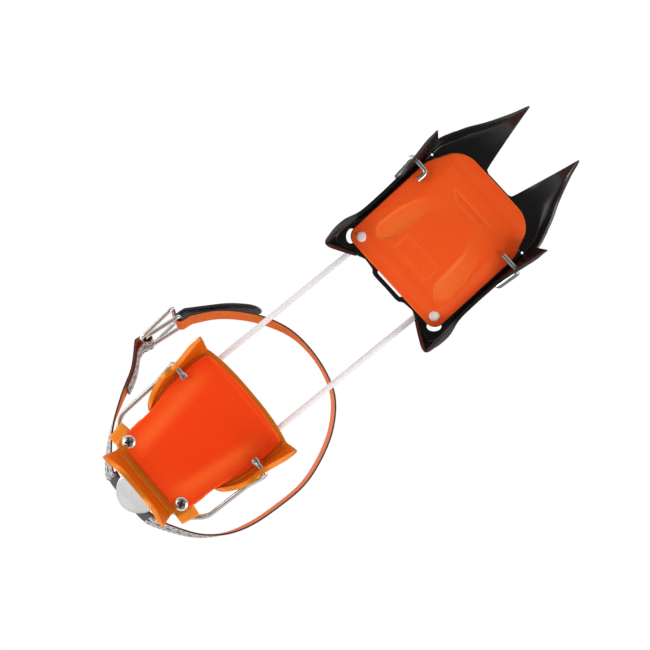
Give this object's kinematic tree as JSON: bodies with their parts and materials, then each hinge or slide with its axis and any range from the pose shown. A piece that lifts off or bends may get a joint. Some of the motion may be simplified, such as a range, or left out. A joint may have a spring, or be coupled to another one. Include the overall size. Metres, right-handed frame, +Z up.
{
  "type": "crampon",
  "caption": "Touring crampon with a steel front half and aluminium heel half joined by cords, with anti-snow plates, wire toe bail, heel bail with lever, and a buckled ankle strap.",
  "frame": {"origin": "On the ground under the middle of the crampon, which stands on the tips of its points.", "axes": "+X runs from heel to front points, +Y to the wearer's left, +Z up to the boot sole."},
  "size_m": [0.349, 0.1402, 0.0987],
  "materials": {
    "black_steel": "gloss",
    "orange_plastic": "gloss",
    "orange_aluminium": "anodised satin",
    "bright_steel": "polished",
    "white_plastic": "satin",
    "white_cord": "braided",
    "strap_webbing": "woven",
    "black_webbing": "coated"
  },
  "bodies": {
    "front": {"front_frame": "black_steel", "front_antisnow_plate": "orange_plastic", "front_rivet_left": "white_plastic", "front_rivet_right": "white_plastic", "adjuster_rail_left": "bright_steel", "adjuster_rail_right": "bright_steel", "rail_rivet_left_rear": "bright_steel", "rail_rivet_left_front": "bright_steel", "rail_rivet_right_rear": "bright_steel", "rail_rivet_right_front": "bright_steel"},
    "toe_bail": {"toe_bail": "bright_steel"},
    "link_front": {"adjuster_bar": "bright_steel", "cord_knot_left": "white_cord", "cord_knot_right": "white_cord", "cord_front_left": "white_cord", "cord_front_right": "white_cord"},
    "link_middle": {"cord_middle_left": "white_cord", "cord_middle_right": "white_cord"},
    "heel": {"heel_frame": "orange_aluminium", "heel_antisnow_plate": "orange_plastic", "heel_screw_left": "bright_steel", "heel_screw_right": "bright_steel", "heel_nut_left": "bright_steel", "heel_nut_right": "bright_steel", "cord_post_left": "bright_steel", "cord_post_right": "bright_steel", "cord_heel_loop": "white_cord"},
    "heel_bail": {"heel_bail": "bright_steel"},
    "heel_lever": {"heel_lever": "white_plastic", "strap_sleeve": "black_webbing"},
    "strap": {"strap_short": "strap_webbing", "strap_long": "strap_webbing", "strap_tail": "black_webbing", "buckle_ring_inner": "bright_steel"},
    "buckle_ring": {"buckle_ring_outer": "bright_steel"}
  },
  "joints": [
    {"name": "toe_bail_swing", "type": "hinge", "parent": "front", "child": "toe_bail", "pos_m": [0.10519, 0.00253, 0.0265], "axis": [0.0401, 0.9992, 0], "range_deg": [-50, 20]},
    {"name": "length_adjust", "type": "slide", "parent": "front", "child": "link_front", "axis": [-0.9992, 0.0401, 0], "range_m": [-0.027, 0.015]},
    {"name": "fold_front", "type": "hinge", "parent": "link_front", "child": "link_middle", "pos_m": [0.0025, 0.002, 0.0393], "axis": [0, -1, 0], "range_deg": [-30, 90], "deforming": ["cord_front_left", "cord_front_right", "cord_middle_left", "cord_middle_right"]},
    {"name": "fold_heel", "type": "hinge", "parent": "link_middle", "child": "heel", "pos_m": [-0.0595, 0.0008, 0.0393], "axis": [0, -1, 0], "range_deg": [-30, 90], "deforming": ["cord_heel_loop"]},
    {"name": "heel_bail_swing", "type": "hinge", "parent": "heel", "child": "heel_bail", "pos_m": [-0.0855, 0.0008, 0.026], "axis": [0, 1, 0], "range_deg": [0, 95]},
    {"name": "strap_level", "type": "hinge", "parent": "heel_bail", "child": "strap", "pos_m": [-0.1475, 0.0008, 0.052], "axis": [0, 1, 0], "range_deg": [-95, 0]},
    {"name": "heel_lever_tilt", "type": "hinge", "parent": "strap", "child": "heel_lever", "pos_m": [-0.1475, 0.0008, 0.052], "axis": [0, 1, 0], "range_deg": [-25, 60]},
    {"name": "buckle_ring_lift", "type": "hinge", "parent": "strap", "child": "buckle_ring", "pos_m": [-0.09606, -0.0651, 0.07925], "axis": [-0.2105, 0.2606, 0.9422], "range_deg": [-60, 0]}
  ],
  "couplings": [
    {"joint": "strap_level", "follows": "heel_bail_swing", "ratio": -1}
  ]
}
